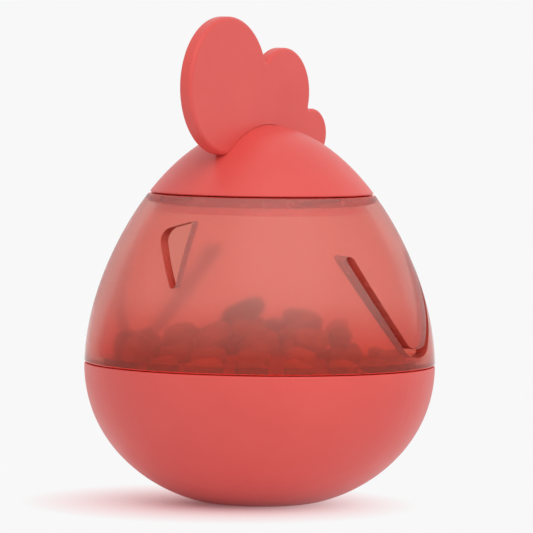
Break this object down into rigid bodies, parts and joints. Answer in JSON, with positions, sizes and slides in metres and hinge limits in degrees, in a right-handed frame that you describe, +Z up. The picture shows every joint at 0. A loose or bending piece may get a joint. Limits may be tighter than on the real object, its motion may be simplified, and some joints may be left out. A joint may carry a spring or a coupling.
{
  "type": "treat dispensing toy",
  "caption": "Egg-shaped rocking pet toy with a weighted bowl, see-through treat chamber with beak and wing openings, and a screw lid with a comb.",
  "frame": {"origin": "middle of the flat foot under the bowl", "axes": "+Z up along the egg's axis, front with the beak opening and the comb's big lobe towards -Y"},
  "size_m": [0.1, 0.1, 0.1384],
  "materials": {
    "coral_plastic": "satin moulded coral plastic",
    "clear_coral_plastic": "see-through coral plastic, smooth",
    "floor_plastic": "moulded plastic, matt",
    "liner_plastic": "moulded plastic, matt",
    "ballast_iron": "cast, dark grey",
    "screw_steel": "plain steel",
    "baked_treat": "dry baked bar, rough and matt"
  },
  "bodies": {
    "base": {"base_bowl": "coral_plastic", "ballast_weight": "ballast_iron", "ballast_screws": "screw_steel", "treat_floor": "floor_plastic", "chamber_shell": "clear_coral_plastic", "treats": "baked_treat"},
    "liner": {"lid_liner": "liner_plastic"},
    "lid": {"lid_dome": "coral_plastic", "comb": "coral_plastic", "comb_screws": "screw_steel"}
  },
  "joints": [
    {"name": "lid_rise", "type": "slide", "parent": "base", "child": "liner", "axis": [0, 0, 1], "range_m": [0, 0.02]},
    {"name": "lid_turn", "type": "hinge", "parent": "liner", "child": "lid", "pos_m": [0, 0, 0.088], "axis": [0, 0, 1], "range_deg": [0, 360]}
  ],
  "couplings": [
    {"joint": "lid_rise", "follows": "lid_turn", "m_per_rad": 0.0031831}
  ]
}
